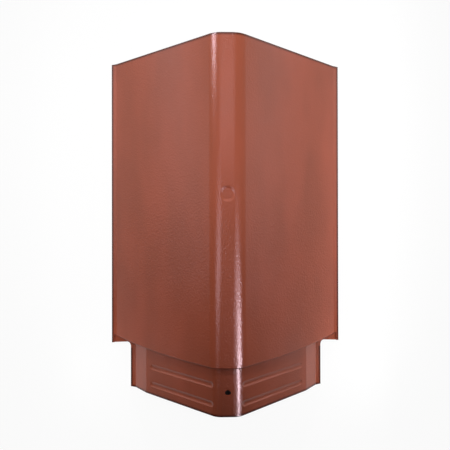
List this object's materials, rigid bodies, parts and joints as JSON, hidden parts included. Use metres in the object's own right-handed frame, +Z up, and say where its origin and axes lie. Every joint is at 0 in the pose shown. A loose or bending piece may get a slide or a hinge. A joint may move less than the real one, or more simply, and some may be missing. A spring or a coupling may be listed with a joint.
{
  "type": "roof ridge cap",
  "caption": "Moulded V-shaped ridge cap with a rounded crown, flared side lips and a stepped, grooved spigot for lapping the next cap.",
  "frame": {"origin": "centre of the rectangle that the cap covers, on the level plane that its two side lips rest on", "axes": "+X across the ridge, +Y along the ridge towards the open back end (the spigot is at -Y), +Z up"},
  "size_m": [0.274, 0.382, 0.1041],
  "materials": {
    "cap": "gloss moulded plastic, brick red, fine orange-peel surface"
  },
  "bodies": {
    "root": {"ridge_cap": "cap"}
  },
  "joints": []
}
